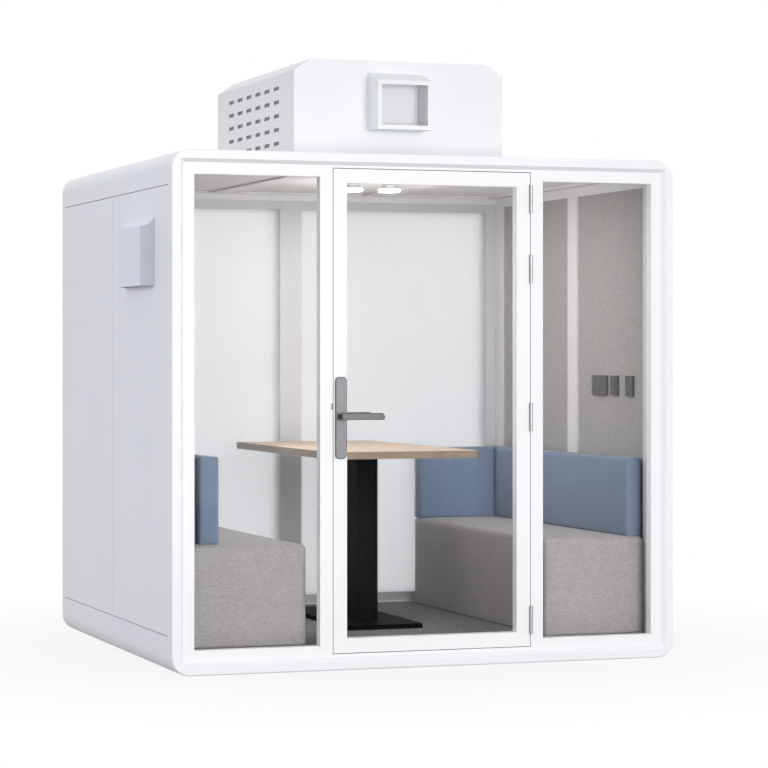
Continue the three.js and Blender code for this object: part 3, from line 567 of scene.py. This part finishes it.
def filter_mats():
    """Grey filter mats behind the slotted sides of the roof unit."""
    low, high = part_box("roof_unit_casing")
    mat = felt_cloth("filter_mat", MAT_GREY)
    foot, top = low.z + MAT_FOOT, high.z - MAT_TOP
    front, rear = low.y + MAT_END, high.y - MAT_END
    for side, inner in (("left", low.x + MAT_SETBACK), ("right", high.x - MAT_SETBACK - MAT_THICKNESS)):
        outer = inner + MAT_THICKNESS
        slab_piece(f"{side}_filter_mat", (inner, front, foot), (outer, rear, top), mat)


def floor_strip():
    """Pale strip that closes the carpet at the foot of the rear wall."""
    low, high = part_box("carpet")
    start = (low.x + STRIP_END, high.y - STRIP_FRONT, high.z + STRIP_FOOT)
    end = (high.x - STRIP_END, high.y - STRIP_REAR, high.z + STRIP_TOP)
    slab_piece("rear_floor_strip", start, end, MATERIALS["white_frame"])


def add_lamp(name, kind, place, power, color):
    data = bpy.data.lights.new(name, kind)
    data.energy = power
    data.color = color
    lamp = bpy.data.objects.new(name, data)
    lamp.location = place
    scene.collection.objects.link(lamp)
    return lamp


def area_lamp(name, place, aim, size, power, color):
    """A square lamp turned towards a point."""
    lamp = add_lamp(name, "AREA", place, power, color)
    lamp.data.size = size
    lamp.rotation_euler = (Vector(aim) - Vector(place)).to_track_quat("-Z", "Y").to_euler()
    return lamp


def glow_lamp(node):
    """Light of a ceiling light, from a little below its lens."""
    low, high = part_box(node)
    place = ((low.x + high.x) / 2, (low.y + high.y) / 2, low.z - GLOW_DROP)
    lamp = add_lamp(node + "_glow", "POINT", place, GLOW_POWER, CABIN_LIGHT)
    lamp.data.shadow_soft_size = GLOW_RADIUS
    return lamp


def shown_rays(tree):
    """1 where the eye, a reflection or a pane sees the surface, and 0 where it only lights others."""
    path = tree.nodes.new("ShaderNodeLightPath")
    total = path.outputs["Is Camera Ray"]
    for ray in ("Is Glossy Ray", "Is Transmission Ray"):
        most = tree.nodes.new("ShaderNodeMath")
        most.operation = "MAXIMUM"
        tree.links.new(total, most.inputs[0])
        tree.links.new(path.outputs[ray], most.inputs[1])
        total = most.outputs[0]
    return total


def add_world():
    """White behind the object, and a soft even light around it."""
    world = bpy.data.worlds.new("studio")
    world.use_nodes = True
    scene.world = world
    tree = world.node_tree
    light = tree.nodes["Background"]
    light.inputs["Color"].default_value = WORLD_COLOR
    light.inputs["Strength"].default_value = WORLD_STRENGTH
    seen = tree.nodes.new("ShaderNodeBackground")
    seen.inputs["Color"].default_value = (*WHITE, 1.0)
    mix = tree.nodes.new("ShaderNodeMixShader")
    tree.links.new(shown_rays(tree), mix.inputs["Fac"])
    tree.links.new(light.outputs["Background"], mix.inputs[1])
    tree.links.new(seen.outputs["Background"], mix.inputs[2])
    tree.links.new(mix.outputs["Shader"], tree.nodes["World Output"].inputs["Surface"])


def add_floor():
    """A pale floor that fades into the white backdrop and keeps a soft shadow."""
    mesh = bpy.data.meshes.new("floor")
    corners = [(x * FLOOR_HALF, y * FLOOR_HALF, 0.0) for x, y in ((-1, -1), (1, -1), (1, 1), (-1, 1))]
    mesh.from_pydata(corners, [], [(0, 1, 2, 3)])
    floor = new_object("floor", mesh)
    material = bpy.data.materials.new("floor")
    material.use_nodes = True
    tree = material.node_tree
    matt = tree.nodes["Principled BSDF"]
    matt.inputs["Base Color"].default_value = FLOOR_GREY
    matt.inputs["Roughness"].default_value = FLOOR_ROUGHNESS
    glow = tree.nodes.new("ShaderNodeEmission")
    place = tree.nodes.new("ShaderNodeTexCoord")
    reach = tree.nodes.new("ShaderNodeVectorMath")
    reach.operation = "LENGTH"
    tree.links.new(place.outputs["Object"], reach.inputs[0])
    fade = tree.nodes.new("ShaderNodeMapRange")
    for socket, value in FLOOR_FADE:
        fade.inputs[socket].default_value = value
    tree.links.new(reach.outputs["Value"], fade.inputs["Value"])
    share = tree.nodes.new("ShaderNodeMath")
    share.operation = "MULTIPLY"
    tree.links.new(fade.outputs["Result"], share.inputs[1])
    mix = tree.nodes.new("ShaderNodeMixShader")
    tree.links.new(shown_rays(tree), share.inputs[0])
    tree.links.new(share.outputs[0], mix.inputs["Fac"])
    tree.links.new(matt.outputs["BSDF"], mix.inputs[1])
    tree.links.new(glow.outputs["Emission"], mix.inputs[2])
    tree.links.new(mix.outputs["Shader"], tree.nodes["Material Output"].inputs["Surface"])
    mesh.materials.append(material)
    floor.location.z = -FLOOR_DEPTH


def add_lamps():
    """Studio lamps, and hidden ones that only light: one behind the pod, the others in its cabin."""
    for values in STUDIO_LAMPS:
        area_lamp(*values)
    hidden = [area_lamp(*values) for values in HIDDEN_LAMPS]
    hidden += [glow_lamp("ceiling_light_1"), glow_lamp("ceiling_light_2")]
    for lamp in hidden:
        lamp.visible_camera = False
        lamp.visible_glossy = False
        lamp.visible_transmission = False


add_camera()
add_world()
add_floor()
add_lamps()
dress_nodes()
seating()
filter_mats()
floor_strip()
